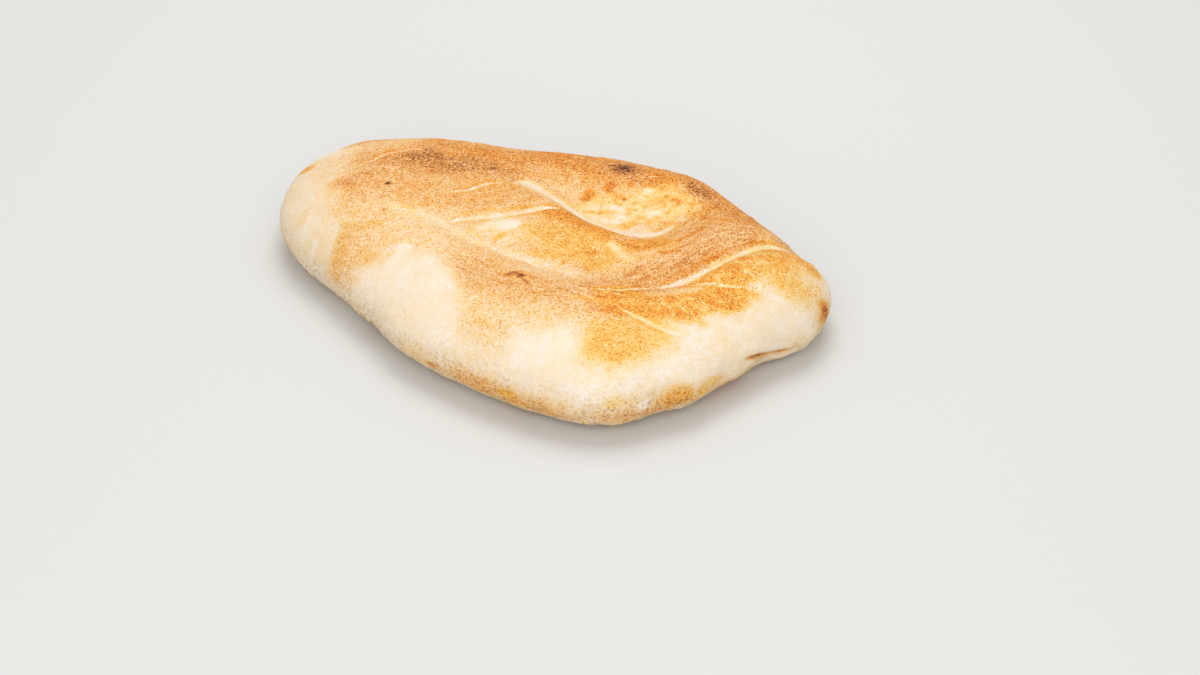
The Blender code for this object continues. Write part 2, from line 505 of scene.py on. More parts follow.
# %% [markdown]
# ## Swellings and pebbles
# Even between its folds the crust isn't smooth. It has slow swellings a finger wide, and small pebbles from
# the bubbles just below the skin. Near the floor it is much rougher, where it stuck to the oven and tore off.
# A Displace modifier could add all this, but sums of numbers can be held back where the loaf rests.

# %% Swell and pebble the skin
# Each: size of the lumps, noise, rise
SWELLINGS = ((21.0, 5, 0.55), (9.0, 6, 0.28))
PEBBLES = ((3.6, 7, 0.13), (2.0, 8, 0.09))
RIM_ROUGHNESS = ((6.0, 18, 0.50), (3.2, 16, 0.60), (1.7, 17, 0.35))
ROUGH_HEIGHT = 6.0
ROUGH_SPREAD = 7.0


def added_lumps(layers):
    """Layers of lumps on top of one another."""
    return sum(rise * lumps(size, seed) for size, seed, rise in layers)


def near_height(middle, spread):
    """1 at a height, and fading to 0 above and below it."""
    return np.exp(-(((height - middle) / spread) ** 2))


def patchy(mean, swing, size, seed):
    """A share from 0 to 1 that comes and goes along the loaf."""
    return np.clip(mean + swing * lumps(size, seed), 0, 1)


swelling = added_lumps(SWELLINGS)
rough_rim = near_height(ROUGH_HEIGHT, ROUGH_SPREAD) * patchy(mean=0.60, swing=0.9, size=24.0, seed=15)
pebbles = added_lumps(PEBBLES) + rough_rim * added_lumps(RIM_ROUGHNESS)
show("roughest place of the rim in mm:", pebbles.max())

# %% [markdown]
# ## Blisters
# Here and there a bubble has lifted the skin into a low round blister. Placed by hand, ninety of them would
# look too regular. So a seeded generator picks places and sizes, and every run gives the same loaf.

# %% Blisters
BLISTERS = 90
BLISTER_RADII = (1.4, 3.6)
BLISTER_RISE = 0.16  # of the radius
TOP_ONLY = 0.9  # how much of the top a point has to belong to
rng = np.random.default_rng(11)

blistered = np.zeros(len(at))
for chosen in rng.choice(np.flatnonzero(top > TOP_ONLY), BLISTERS, replace=False):
    size = rng.uniform(*BLISTER_RADII)
    dome = np.clip(1 - from_middle(at[chosen], size) ** 2, 0, 1) ** 2
    blistered = np.maximum(blistered, BLISTER_RISE * size * dome)
show("highest blister in mm:", blistered.max())

# %% [markdown]
# ## Move the points
# All that relief is one height for each point, and the points move along the way that they face. Close to
# the floor the loaf's weight holds the skin down. At the end each axis is stretched by a hair, so that the
# skin measures what the solid measures.

# %% Move the points and keep the size
REST_HEIGHT = 3.5  # below this the skin is held down by its own weight
LIFT_OFF = 0.3  # and below this it is held down fully
HELD_RELIEF = 0.25  # the share of the relief that is left there


def fit_to_box(points, low, high):
    """Stretches each axis so that the points fill a box."""
    from_low, from_high = points.min(axis=0), points.max(axis=0)
    return low + (points - from_low) * (high - low) / (from_high - from_low)


relief = swelling + pebbles + eased + carved + folded + dented + blistered + wrinkles
relief *= HELD_RELIEF + (1 - HELD_RELIEF) * soft_step(height, LIFT_OFF, REST_HEIGHT)
shaped = at + out * relief[:, None]
shaped[:, 2] = np.maximum(shaped[:, 2], 0)
shaped = fit_to_box(shaped, np.array(CAD_BOX[0]) / MM, np.array(CAD_BOX[1]) / MM)
crust.data.vertices.foreach_set("co", (shaped * MM).ravel())
crust.data.update()
crust.data.shade_smooth()
show("moved by up to, in mm:", np.linalg.norm(shaped - at, axis=1).max())

# %% [markdown]
# ## Browning, laid on like glaze
# Three numbers are painted on every point. Browning runs from raw dough to char. Orange says whether the
# brown leans to gold, as it does on thin stretched skin, or to the plain brown of thick crust. Grain is how
# strong the peppering of tiny bubbles is. A picture could hold them too, but numbers on the points need no
# unwrapping. The base coat follows the distance from the edge.

# %% Base coat
# Browning, orange and grain: at the edge, in the middle, and how far in the middle's value is reached
EDGE_PAINT = np.array([0.08, 0.25, 0.25])
MIDDLE_PAINT = np.array([0.42, 0.25, 0.90])
FULL_INSETS = (40, 40, 36)
BARE_RIM = 14  # mm from the edge where the coat starts to change

coats = np.column_stack([soft_step(inset, BARE_RIM, full) for full in FULL_INSETS])
paint = EDGE_PAINT + (MIDDLE_PAINT - EDGE_PAINT) * coats
show("browning in the middle:", paint[:, 0].max())

# %% [markdown]
# ### Ovals
# On the base coat come broad soft ovals that brown a dome or leave an end pale. Each pulls the three numbers
# towards its own, and a later one covers those before it.

# %% Ovals of colour
# Each: middle, half length, half width, turn, softness, then browning, orange, grain
DAUBS = {
    "left_dome": ((-56, 44), 50, 30, 8, 0.4, 0.54, 0.3, 1.0),
    "dome_dark": ((-44, 54), 30, 12, -6, 0.6, 0.8, 0.12, 1.1),
    "dome_darkest": ((-50, 58), 10, 5, 0, 0.7, 0.91, 0.1, 1.0),
    "dome_left": ((-97, 44), 9, 24, 4, 0.6, 0.27, 0.15, 0.8),
    "left_end": ((-107, 24), 12, 40, 14, 0.5, 0.13, 0.2, 0.3),
    "saddle": ((-20, 25), 24, 12, 12, 0.5, 0.57, 0.35, 1.0),
    "left_middle": ((-60, 0), 24, 15, -20, 0.6, 0.3, 0.25, 0.9),
    "reddish_left": ((-79, -5), 9, 19, -30, 0.7, 0.4, 0.25, 1.0),
    "mound_left": ((-16, -4), 16, 11, -35, 0.5, 0.28, 0.4, 0.8),
    "mound": ((14, -13), 25, 14, -34, 0.5, 0.49, 0.95, 1.0),
    "near_speckled": ((-20, -58), 18, 14, -35, 0.6, 0.31, 0.4, 1.0),
    "lobe_top": ((81, -24), 25, 14, 22, 0.45, 0.65, 1.2, 0.66),
    "lobe_side": ((104, -34), 14, 9, -50, 0.6, 0.3, 0.5, 1.0),
    "lobe_corner": ((90, -24), 11, 10, 0, 0.6, 0.58, 1.1, 0.7),
    "right_of_pocket": ((72, 6), 14, 18, -35, 0.5, 0.6, 0.3, 1.0),
    "orange_patch": ((30, -78), 19, 11, 16, 0.5, 0.43, 1.0, 0.78),
}


def covered(share, softness):
    """How much a mark covers, from the distance in shares of its own size."""
    return 1 - soft_step(share, 1 - softness, 1 + softness)


def laid_on(paint, cover, target):
    """The paint, pulled towards a target where it is covered."""
    return paint + (np.array(target) - paint) * cover[:, None]


for middle, half_length, half_width, turn, softness, *target in DAUBS.values():
    cover = covered(oval(middle, half_length, half_width, turn, wander), softness)
    paint = laid_on(paint, cover * top, target)
show("browning of the darkest oval:", paint[:, 0].max())

# %% [markdown]
# ### Strokes
# Strokes are the same, along a route: a band of brown on a crest, or of pale yellow along a valley. A
# narrow one is stirred less, because it would be torn apart.

# %% Strokes of colour
# Each: route, half width, softness, then browning, orange, grain
STROKES = {
    # far_rim and dome_rim_and_shade: brown crust, painted darker still as shade along the far edge
    "far_rim": (
        ((-36, 77), (0, 72), (25, 65), (48, 59), (68, 45), (86, 28), (101, 8)), 21, 0.4, 0.73, 0.6, 1.0,
    ),
    "near_crest": (
        ((-34, -30), (-22, -40), (-8, -47), (8, -53), (24, -56), (38, -50)), 9, 0.45, 0.53, 0.25, 1.0,
    ),
    "cross_ridge": (((18, -50), (38, -42), (54, -29), (68, -15), (82, -4), (99, 0)), 8, 0.4, 0.6, 0.15, 1.0),
    "orange_mid": (((30, -58), (45, -58), (57, -55), (68, -50), (80, -41)), 8, 0.45, 0.62, 0.95, 0.85),
    "lobe_edge": (((94, -8), (103, -12), (109, -20)), 5, 0.7, 0.58, 0.8, 1.0),
    "dome_rim_and_shade": (((-80, 86), (-60, 94), (-38, 90), (-14, 84)), 12, 0.5, 0.57, 0.25, 1.0),
    # mound_edge: orange-brown crust, painted darker as the shade under the mound's edge, which the eased fold
    # casts less
    "mound_edge": (
        ((3, 13), (11, 9), (19, 3), (25, -3), (31, -10), (39, -14), (48, -14)), 6.0, 0.6, 0.7, 0.95, 0.9,
    ),
    "pocket": (((25, 27), (36, 27), (55, 29)), 10.5, 0.4, 0.34, 1.0, 0.6),
    "hollow_side": (((33, -8), (42, -4), (50, 1), (59, 8), (67, 16)), 5, 0.8, 0.62, 0.5, 1.2),
    "valley": (
        ((-9, 40), (-3, 35), (4, 29), (12, 22), (20, 17), (30, 12), (40, 10)), 4.2, 0.6, 0.15, 0.05, 0.5,
    ),
    "wing": (((16, 28), (23, 28.5), (29, 28.5), (34, 26)), 1.6, 0.9, 0.2, 0.6, 0.4),
    "second_wing": (((16, 26), (22, 23), (29, 18.5)), 1.8, 0.9, 0.16, 0.6, 0.4),
    "between_wings": (((16, 27), (21, 26), (27, 25)), 0.8, 0.7, 0.4, 1.0, 0.6),
    "crest_foot": (
        ((-64, 12), (-55, 9), (-45, 4), (-36, -2), (-28, -9), (-18, -16), (-9, -21), (3, -28), (11, -35)),
        3.0, 0.8, 0.20, 0.45, 0.8,
    ),
    "dark_arc": (((-37, 60), (-30, 57), (-24, 49)), 1.6, 0.6, 0.74, 0.15, 1.0),
    "mound_streak": (((27, -13), (30, -19), (34, -27)), 1.8, 0.9, 0.2, 0.8, 0.5),
    "near_ridge_gold": (((12, -57), (24, -58), (38, -57)), 1.4, 0.6, 0.5, 0.95, 0.6),
    "mound_spot": (((17, -19), (20, -19)), 1.6, 0.8, 0.72, 0.9, 0.8),
    "ridge_streak_c": (((46, -23), (50, -24), (54, -22)), 1.1, 0.8, 0.74, 0.9, 0.8),
    "ridge_streak_b": (((33, -15), (37, -17), (42, -18)), 1.3, 0.8, 0.76, 0.95, 0.8),
    "ridge_streak_a": (((54, -14), (58, -9), (62, -4), (66, 2)), 1.1, 0.8, 0.76, 0.9, 0.8),
}
WIDE_STROKE = 6  # half width above which a stroke takes the full stirring
NARROW_STIR = 0.2  # of the half width

for points, half_width, softness, *target in STROKES.values():
    stirred = wander if half_width > WIDE_STROKE else plan + NARROW_STIR * half_width * fine_stir
    across = abs(gap_to(points, stirred, 2 * half_width)[0])
    paint = laid_on(paint, covered(across / half_width, softness) * top, target)
print("strokes:", len(STROKES))

# %% [markdown]
# ### Spots
# After the strokes come smaller things, down to single burnt dots: cream patches, gold flecks in the hollow,
# the two burns at the far rim, dark scorches, and white spots that are painted highlights.

# %% Spots of colour
# Each: as in the ovals
SPOTS = {
    "cream_patch": ((-50, -42), 15, 25, 22, 0.35, 0.07, 0.0, 0.15),
    "red_left_c": ((-70, 4), 5, 2.4, 30, 0.9, 0.42, 0.5, 0.7),
    "red_left_b": ((-74, -13), 5, 3, -20, 0.9, 0.4, 0.4, 0.5),
    "red_left_a": ((-85, -2), 3.5, 8, -20, 0.9, 0.48, 0.3, 0.8),
    "dome_blotch_b": ((-75, 42), 6, 3, -10, 0.8, 0.64, 0.3, 1.1),
    "dome_blotch_a": ((-86, 35), 7, 5, 20, 0.8, 0.66, 0.2, 1.1),
    "near_cream": ((3, -83), 13, 9, 25, 0.5, 0.06, 0.0, 0.12),
    "near_flank": ((84, -64), 24, 7, 42, 0.5, 0.08, 0.15, 0.2),
    "left_flank": ((-84, -28), 7, 22, 50, 0.6, 0.06, 0.0, 0.25),
    "branch_blotch": ((86, -44), 5, 2.4, -10, 0.7, 0.16, 0.3, 0.7),
    "lobe_blotch": ((94, -37), 9, 5.5, -20, 0.9, 0.48, 0.95, 0.8),
    "red_spot_a": ((27, 40), 3.6, 2.2, 75, 0.5, 0.78, 1.0, 0.6),
    "red_spot_b": ((18, 36), 3.6, 2.6, 20, 0.5, 0.74, 1.0, 0.8),
    "red_spot_c": ((36, 42), 2.4, 1.6, 75, 0.5, 0.76, 1.0, 0.6),
    "pocket_gold_a": ((48, 32), 4.4, 2.2, 10, 0.6, 0.5, 1.0, 0.5),
    "pocket_gold_b": ((56, 31), 3.4, 1.8, -20, 0.6, 0.5, 1.0, 0.5),
    "pocket_gold_c": ((34.5, 18), 4.4, 2.2, 15, 0.6, 0.5, 1.0, 0.4),
    "pocket_gold_d": ((62, 26), 3.0, 1.6, 60, 0.6, 0.48, 0.95, 0.5),
    "pocket_pale_a": ((31, 22), 3.0, 2.0, 30, 0.9, 0.13, 0.5, 0.3),
    "pocket_pale_b": ((45, 24), 3.6, 2.4, 30, 0.6, 0.14, 0.6, 0.3),
    "pocket_pale_c": ((44, 38), 3.2, 1.6, 10, 0.6, 0.16, 0.6, 0.3),
    "char_glow": ((33, 54), 9, 6, -15, 0.8, 0.76, 0.15, 1.0),
    "char": ((33, 54), 5.4, 4.6, -15, 0.6, 0.98, 0.1, 0.6),
    "scorch_glow": ((65, 37), 9, 5, -40, 0.8, 0.68, 0.15, 1.0),
    "scorch": ((66, 38), 6.5, 3.6, -40, 0.7, 0.9, 0.1, 0.9),
    "left_burn": ((-108, 64), 4.0, 3.2, -30, 0.6, 0.58, 0.85, 0.5),
    "streak_glow": ((-10, -38), 6, 3, -20, 0.8, 0.66, 0.8, 0.8),
    "streak_a": ((-12.5, -37), 2.3, 1.6, 10, 0.5, 1.0, 0.4, 0.2),
    "streak_b": ((-9, -38.5), 2.0, 1.5, -20, 0.5, 1.0, 0.5, 0.2),
    "streak_c": ((-7, -43), 3.4, 1.0, -60, 0.4, 0.9, 0.4, 0.3),
    # a pale blister with a painted highlight on it
    "pale_blister_highlight": ((-15, 1), 4.0, 3.0, 35, 0.6, 0.03, 0.1, 0.1),
    "pale_mound": ((-20, 4), 8.0, 3.4, 20, 0.7, 0.12, 0.3, 0.6),
    "gold_in_mound": ((-18, -6), 2.8, 1.6, 10, 0.6, 0.5, 1.0, 0.3),
    # painted highlights: white glints on small glossy bumps
    "painted_glint_a": ((-58, -14), 3.4, 2.4, -30, 0.7, 0.0, 0.0, 0.1),
    "painted_glint_b": ((-61, -18), 2.4, 1.8, 40, 0.7, 0.02, 0.0, 0.1),
    "waxy": ((-95.5, 4), 9.0, 4.5, -62, 0.8, 0.16, 0.45, 0.12),
    "waxy_ridge": ((-89, 3), 0.8, 5.0, -20, 0.9, 0.1, 0.0, 0.2),
    # painted highlights: white spots where the waxy left end catches the light
    "painted_highlight_a": ((-103, 14), 1.2, 2.2, -20, 0.7, 0.0, 0.0, 0.0),
    "painted_highlight_b": ((-98, 6), 1.0, 1.6, -20, 0.7, 0.0, 0.0, 0.0),
    "ear": ((-104, 22), 2.2, 3.2, -20, 0.8, 0.2, 0.6, 0.3),
    "dot": ((-68, 31), 1.5, 1.4, 0, 0.35, 1.0, 0.0, 0.0),
    "small_dot": ((-68, 11), 1.0, 0.9, 0, 0.5, 0.85, 0.0, 0.0),
    "dome_dot": ((-24, 49), 1.6, 1.2, -40, 0.5, 0.95, 0.1, 0.3),
    "rim_dot": ((-15, 42), 1.2, 1.0, 0, 0.5, 0.85, 0.1, 0.3),
    "pocket_dot": ((33, 33), 1.0, 0.8, 0, 0.5, 0.85, 0.3, 0.3),
}
SPOT_STIR = 0.25  # of the half length
STIRRED_LENGTH = 4.0  # the stirring grows no more above this half length

for middle, half_length, half_width, turn, softness, *target in SPOTS.values():
    stirred = plan + SPOT_STIR * min(half_length, STIRRED_LENGTH) * fine_stir
    cover = covered(oval(middle, half_length, half_width, turn, stirred), softness)
    paint = laid_on(paint, cover * top, target)
print("spots:", len(SPOTS))

# %% [markdown]
# ### The hollow
# The hollow's thin crust baked in small puddles, each with its own yellow. They are too small to place one by
# one, so noise inside a soft oval makes them.

# %% Puddles in the hollow
HOLLOW = ((44, 26), 21, 13, -8)
HOLLOW_SOFTNESS = 0.4
PUDDLE_SIZE = 2.6
PUDDLE_BROWNING = (-0.08, 0.18)  # added between the puddles and in them
YELLOW_SIZE = 4.2
YELLOW_RANGE = 0.5

puddled = covered(oval(*HOLLOW, wander), HOLLOW_SOFTNESS) * top
between, within = PUDDLE_BROWNING
paint[:, 0] += puddled * (between + (within - between) * soft_step(lumps(PUDDLE_SIZE, seed=21), 0.0, 0.5))
paint[:, 1] += puddled * YELLOW_RANGE * lumps(YELLOW_SIZE, seed=22)
print("points in the hollow:", int((puddled > 0.5).sum()))

# %% [markdown]
# ### The low rim
# Just above the floor the rim is toasted tan in long uneven stretches, and that band is also darkened as
# painted shade close to the floor. On two flanks both are held back, so they stand pale: partly the dough's
# own colour, partly painted light where the lamps leave them in shade. Strokes could follow it, but it runs
# level all round, so the height alone says where it is.

# %% Toast the low rim
TOAST_HEIGHT = 9.0
TOAST_SPREAD = 6.5
TOAST_AND_SHADE_BROWNING = 0.50
PALE_AND_LIT_FLANKS = (((-92, -22), 62, 30, -52), ((94, -62), 34, 15, 45))
FLANK_SOFTNESS = 0.4
FLANK_LIGHTENING = 0.85
TOAST_DULLS = 0.8  # how much of the gold is gone in full toast

toast_and_shade = near_height(TOAST_HEIGHT, TOAST_SPREAD) * patchy(mean=0.80, swing=0.7, size=19.0, seed=12)
# painted light: the two flanks keep back the toast and its painted shade, so they stand paler
for flank in PALE_AND_LIT_FLANKS:
    toast_and_shade *= 1 - FLANK_LIGHTENING * covered(oval(*flank, plan), FLANK_SOFTNESS)
# toast and painted shade: the band just above the floor is darkened
paint[:, 0] = np.maximum(paint[:, 0], EDGE_PAINT[0] + TOAST_AND_SHADE_BROWNING * toast_and_shade)
paint[:, 1] *= 1 - TOAST_DULLS * toast_and_shade
paint[:, 2] = np.maximum(paint[:, 2], toast_and_shade)
show("toasted share of the skin:", (toast_and_shade > 0.5).mean())

# %% [markdown]
# ### The slit's shade
# Deep in the slit the colour is darkened as painted shade. The same profile that cut it says where.

# %% Darken the slit
SLIT_SHADE_WIDTH = 1.1  # half widths
SLIT_SHADE_DARKENING = 1.6

shaded = slit_opening * np.exp(-((slit_profile / SLIT_SHADE_WIDTH) ** 2))
# painted shade: the inside of the slit is darkened in the browning
paint[:, 0] += SLIT_SHADE_DARKENING * shaded
paint[:, 1] *= 1 - shaded
print("points in the slit's shade:", int((shaded > 0.5).sum()))

# %% [markdown]
# ### Spots low on the side
# The steep side is hardly seen in plan, so its spots are placed in space: ochre smears, the burnt tip at
# the right and thin dark lines just above the floor, which are painted shade of small creases.

# %% Spots low on the side
# Each: place, half length, half height, softness, then browning, orange, grain
LOW_SPOTS = {
    "corner": ((53, -91, 13), 6.5, 5.0, 0.6, 0.62, 0.7, 0.9),
    "corner_right": ((65, -85, 12), 9, 3.6, 0.6, 0.42, 0.8, 0.9),
    "ochre_a": ((-13, -87, 12), 4.5, 2.6, 0.6, 0.56, 0.85, 0.8),
    "ochre_b": ((-8, -90, 9), 3.5, 2.2, 0.6, 0.54, 0.8, 0.8),
    "ochre_c": ((30, -99, 17), 5.0, 2.2, 0.7, 0.3, 0.85, 0.8),
    "brown_low": ((-27, -78, 11), 9.0, 4.0, 0.7, 0.58, 0.2, 1.0),
    "white_patch": ((39, -98, 14), 4.0, 2.2, 0.6, 0.05, 0.2, 0.1),
    "lobe_low": ((113, -41, 14), 3.0, 8.0, 0.7, 0.3, 0.6, 0.6),
    "right_burn": ((116, -37, 18), 4.5, 6.0, 0.7, 0.92, 0.7, 0.8),
    # painted shade: dark lines where small creases would hold shade
    "shaded_crease_a": ((-43, -66, 10.5), 5.0, 0.9, 0.8, 0.74, 0.1, 0.8),
    "shaded_crease_b": ((-24, -80, 8), 4.5, 0.8, 0.8, 0.72, 0.1, 0.8),
    "shaded_crease_c": ((4, -95, 7), 5.0, 0.8, 0.8, 0.74, 0.1, 0.8),
}
LOW_STIR = 1.2

low_stir = LOW_STIR * np.column_stack([fine_stir, fine_stir[:, :1]])
for middle, half_length, half_height, softness, *target in LOW_SPOTS.values():
    away = at + low_stir - np.array(middle, float)
    share = np.hypot(np.hypot(away[:, 0], away[:, 1]) / half_length, away[:, 2] / half_height)
    paint = laid_on(paint, covered(share, softness), target)
print("low spots:", len(LOW_SPOTS))

# %% [markdown]
# ### The underside
# Underneath, the oven's floor browned the dough in patches as wide as a thumb, with pale dough between. No
# view of it tells more, so two layers of noise are enough.

# %% Mottle the underside
BASE_LUMPS = ((26.0, 13, 1.0), (9.0, 14, 0.5))  # size, noise, weight
# Browning, orange and grain: between the patches and in them
PALE_BASE = np.array([0.16, 0.25, 0.50])
BROWN_BASE = np.array([0.58, 0.55, 0.90])
UNDERSIDE = (-0.75, -0.35)  # how far up a point faces where the underside is full, and where it ends

under = 1 - soft_step(out[:, 2], *UNDERSIDE)
patches = soft_step(added_lumps(BASE_LUMPS), low=-0.15, high=0.55)
paint = laid_on(paint, under, PALE_BASE + (BROWN_BASE - PALE_BASE) * patches[:, None])
show("browning from and to:", paint[:, 0].min(), paint[:, 0].max())

# %% [markdown]
# ### Scorched flour and a web of lines
# Two more numbers tell the finish about small things. Scorched flour clings to the rough rim in tan specks.
# And on the right lobe the skin is stretched so thin that it has broken into a web of fine lines. Specks and
# lines are finer than the skin's grid, so only their share is kept here, and the finish draws them.

# %% Flour and web
FLOUR_HEIGHT = 9  # below this the flour is thickest
FLOUR_SPREAD = 9
FLOUR_STRENGTH = 1.2
RIGHT_FLANK = PALE_AND_LIT_FLANKS[1]
FLANK_CLEAN = 0.7
WEBBED = (((80, -33), 20, 12, 22), ((58, -54), 18, 8, 10))
WEB_SOFTNESS = 0.4

thickness = FLOUR_STRENGTH * np.exp(-((np.maximum(height - FLOUR_HEIGHT, 0) / FLOUR_SPREAD) ** 2))
dusted = thickness * patchy(mean=0.65, swing=0.7, size=15.0, seed=23)
dusted *= 1 - FLANK_CLEAN * covered(oval(*RIGHT_FLANK, plan), FLANK_SOFTNESS)
stretched = np.max([covered(oval(*patch, wander), WEB_SOFTNESS) for patch in WEBBED], axis=0) * top
show("floured share of the skin:", (dusted > 0.5).mean())

# %% [markdown]
# ### Storage
# The painted numbers and the distances are stored with the points, so that the colours follow the loaf
# wherever it goes.

# %% Keep the numbers on the skin
CRACK_REACH = 6.0  # half widths, beyond which a crack's distance needn't be known


def keep_on_skin(name, values):
    """Stores one number for each point, where the finish can read it."""
    layer = crust.data.attributes.new(name, "FLOAT", "POINT")
    layer.data.foreach_set("value", values.astype(np.float32))


NUMBERS = {
    "browning": paint[:, 0],
    "orange": paint[:, 1],
    "grain": paint[:, 2],
    "dusted": dusted,
    "cracking": np.minimum(cracking, CRACK_REACH),
    "stretched": stretched,
    "band_cover": band_cover,
    "band_along": band_along,
    "band_across": band_across,
}
for name, values in NUMBERS.items():
    keep_on_skin(name, values)
print("numbers on each point:", *NUMBERS)

# %% [markdown]
# ## Shader sums written as sums
# A finish is mostly arithmetic: more brown here, less on a crack, a little grain on top. Every step could be
# a Math node placed by hand, but such a tree is hard to read. A small class that wraps a socket makes
# it possible to write the arithmetic as it is thought, and adds the Math nodes by itself.

# %% Values and finishes


class Value:
    """A number that changes over the surface. A sum of values adds its Math nodes to the finish."""

    def __init__(self, finish, socket):
        self.finish = finish
        self.socket = socket

    def math(self, operation, *terms):
        return self.finish.node("ShaderNodeMath", {"operation": operation}, dict(enumerate(terms)))

    def __add__(self, other):
        return self.math("ADD", self, other)

    def __sub__(self, other):
        return self.math("SUBTRACT", self, other)

    def __rsub__(self, other):
        return self.math("SUBTRACT", other, self)

    def __mul__(self, other):
        return self.math("MULTIPLY", self, other)

    def __truediv__(self, other):
        return self.math("DIVIDE", self, other)

    def at_most(self, limit):
        return self.math("MINIMUM", self, limit)

    __radd__ = __add__


class Finish:
    """One material in the making: its shader, and the one method that adds any other node."""

    def __init__(self, name):
        self.material = bpy.data.materials.new(name)
        self.material.use_nodes = True
        self.tree = self.material.node_tree
        self.shader = self.tree.nodes["Principled BSDF"]

    def plug(self, socket, value):
        if isinstance(value, Value):
            self.tree.links.new(value.socket, socket)
        else:
            socket.default_value = value

    def node(self, kind, settings, sockets, output=0):
        """Adds a node: its settings first, then its sockets. Gives back one of its outputs."""
        node = self.tree.nodes.new(kind)
        for name, value in settings.items():
            if name == "stops":
                fill_ramp(node.color_ramp, value)
            else:
                setattr(node, name, value)
        for name, value in sockets.items():
            self.plug(node.inputs[name], value)
        return Value(self, node.outputs[output])

    def report(self):
        print("nodes in the finish:", len(self.tree.nodes))


def fill_ramp(ramp, stops):
    """Puts a ramp's stops in place: each has a position and a colour."""
    while len(ramp.elements) < len(stops):
        ramp.elements.new(1.0)
    for element, (position, colour) in zip(ramp.elements, stops):
        element.position = position
        element.color = (*colour, 1.0)


print("operators that add Math nodes: + - * /")

# %% [markdown]
# The rest of the finish is built from a handful of steps that come back again and again. Patterns are
# sized in millimetres on the loaf itself, because such a size can be held against a ruler.

# %% Steps that the finish is built from
NOISE_MIDDLE = 0.5
NOISE_SPREAD = 3.3  # takes the noise out to about -1 and 1


def painted(finish, name):
    """A value that was painted on the skin, point by point."""
    return finish.node("ShaderNodeAttribute", {"attribute_name": name}, {}, "Fac")


def mottle(finish, where, size, detail=2.0, roughness=0.5):
    """Cloudy noise from about -1 to 1, with spots `size` millimetres across."""
    sockets = {"Vector": where, "Scale": 1 / (size * MM), "Detail": detail, "Roughness": roughness}
    return (finish.node("ShaderNodeTexNoise", {}, sockets, "Fac") - NOISE_MIDDLE) * NOISE_SPREAD


def cells(finish, where, size, feature="F1", output="Distance"):
    """Cells about `size` millimetres across."""
    sockets = {"Vector": where, "Scale": 1 / (size * MM)}
    return finish.node("ShaderNodeTexVoronoi", {"feature": feature}, sockets, output)


def step(value, low, high):
    """A soft step: 0 below low, 1 above high."""
    return value.finish.node(
        "ShaderNodeMapRange", {"interpolation_type": "SMOOTHSTEP"},
        {"Value": value, "From Min": low, "From Max": high},
    )


def ramp(value, stops):
    """The colour that a ramp has at a value."""
    return value.finish.node("ShaderNodeValToRGB", {"stops": stops}, {"Fac": value})


def mix(share, under, over):
    """Lays one colour over another by a share."""
    return share.finish.node("ShaderNodeMix", {"data_type": "RGBA"}, {0: share, 6: under, 7: over}, 2)


print("steps ready: painted, mottle, cells, step, ramp, mix")

# %% [markdown]
# ## The colours of baking
# Browned dough doesn't go from white to brown in a straight line. It passes through cream and straw, and
# only then turns brown. Three ramps hold that walk: one for thick plain crust, one for thin stretched skin,
# which glows more golden, and one for the rosy clouds on the plain crust. The colours are as they look
# in good light, so they are turned into what the surface gives back, which is always a little less.

# %% Ramps of browning
GIVEN_BACK = 0.78  # share of the light that the palest crust gives back


def seen(red, green, blue):
    """A colour as it looks in good light, as the linear colour of the surface."""
    linear = [((c / 255 + 0.055) / 1.055) ** 2.4 for c in (red, green, blue)]
    return tuple(GIVEN_BACK * c for c in linear)


def stops_of(rows):
    """Rows of position, red, green and blue, as the stops of a ramp."""
    return [(position, seen(*colour)) for position, *colour in rows]


PLAIN_BROWNING = stops_of((
    (0.00, 255, 247, 236), (0.06, 253, 236, 211), (0.13, 252, 227, 190), (0.25, 251, 216, 164),
    (0.38, 249, 201, 138), (0.50, 244, 185, 112), (0.65, 232, 160, 82), (0.80, 200, 127, 58),
    (0.90, 146, 84, 36), (1.00, 62, 34, 18),
))
GOLDEN_BROWNING = stops_of((
    (0.00, 255, 246, 228), (0.06, 253, 236, 200), (0.13, 252, 227, 174), (0.25, 252, 216, 140),
    (0.38, 251, 198, 100), (0.50, 248, 179, 72), (0.65, 242, 153, 46), (0.80, 218, 124, 36),
    (0.90, 160, 80, 24), (1.00, 64, 32, 14),
))
ROSY_BROWNING = stops_of((
    (0.00, 255, 247, 240), (0.13, 253, 229, 205), (0.25, 252, 214, 180), (0.38, 249, 199, 156),
    (0.50, 243, 182, 132), (0.65, 229, 156, 101), (0.80, 196, 123, 72), (0.90, 142, 82, 46),
    (1.00, 60, 34, 22),
))
print("stops of the plain ramp:", len(PLAIN_BROWNING))

# %% [markdown]
# ## The crust's finish
# The finish starts by reading back what was painted on the skin. The place on the loaf is read in the loaf's
# own space, so that the patterns stay put when it moves.

# %% Read the painted numbers
finish = Finish("crust")
here = finish.node("ShaderNodeTexCoord", {}, {}, "Object")
READ_FIRST = ("browning", "orange", "grain", "cracking", "stretched", "band_cover")
browning, orange, grain, gap, stretch, band = (painted(finish, name) for name in READ_FIRST)
finish.report()

# %% [markdown]
# ### Pepper, clouds and drift
# Close up, the browned parts are peppered: thousands of bubbles a millimetre apart, each a shade darker or
# lighter than the next. Above that lie clouds of a few millimetres, and a slow drift as wide as a finger. In
# the mesh such bubbles would take millions of points, so they are noise in the finish.

# %% Patterns
pepper = mottle(finish, here, size=0.85, detail=1.5, roughness=0.65)
specks = step(pepper, low=0.20, high=0.65)
